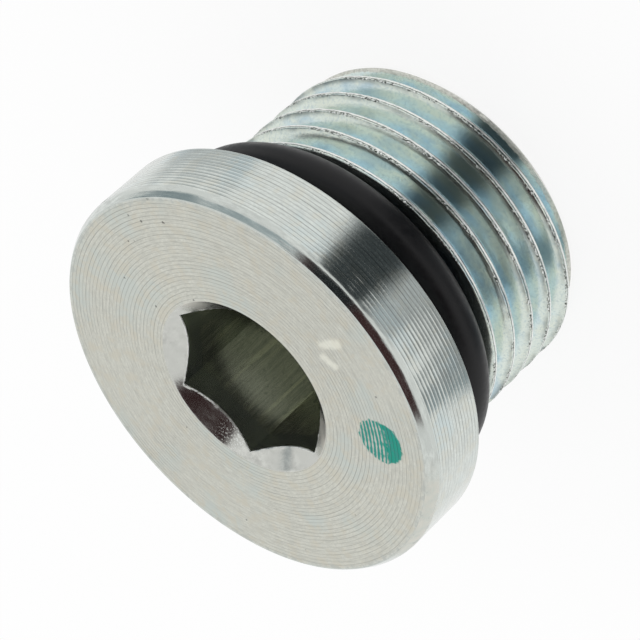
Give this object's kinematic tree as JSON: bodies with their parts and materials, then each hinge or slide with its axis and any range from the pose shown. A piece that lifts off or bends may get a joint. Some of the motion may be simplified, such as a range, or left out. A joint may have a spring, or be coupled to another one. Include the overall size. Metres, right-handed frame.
{
  "type": "threaded plug",
  "caption": "Flanged screw plug with an external pipe thread, a hex socket in its face and a rubber sealing ring behind the flange; closes a threaded port.",
  "frame": {"origin": "centre of the thread's end face, which the plug stands on", "axes": "+Z along the plug's axis, from the thread's end to the flange face; +X through a corner of the hex socket"},
  "size_m": [0.0264, 0.0264, 0.0189],
  "materials": {
    "zinc_steel": "turned steel with bright zinc plating",
    "rubber_ring": "smooth black rubber, satin"
  },
  "bodies": {
    "root": {"plug_body": "zinc_steel", "o_ring": "rubber_ring"}
  },
  "joints": []
}
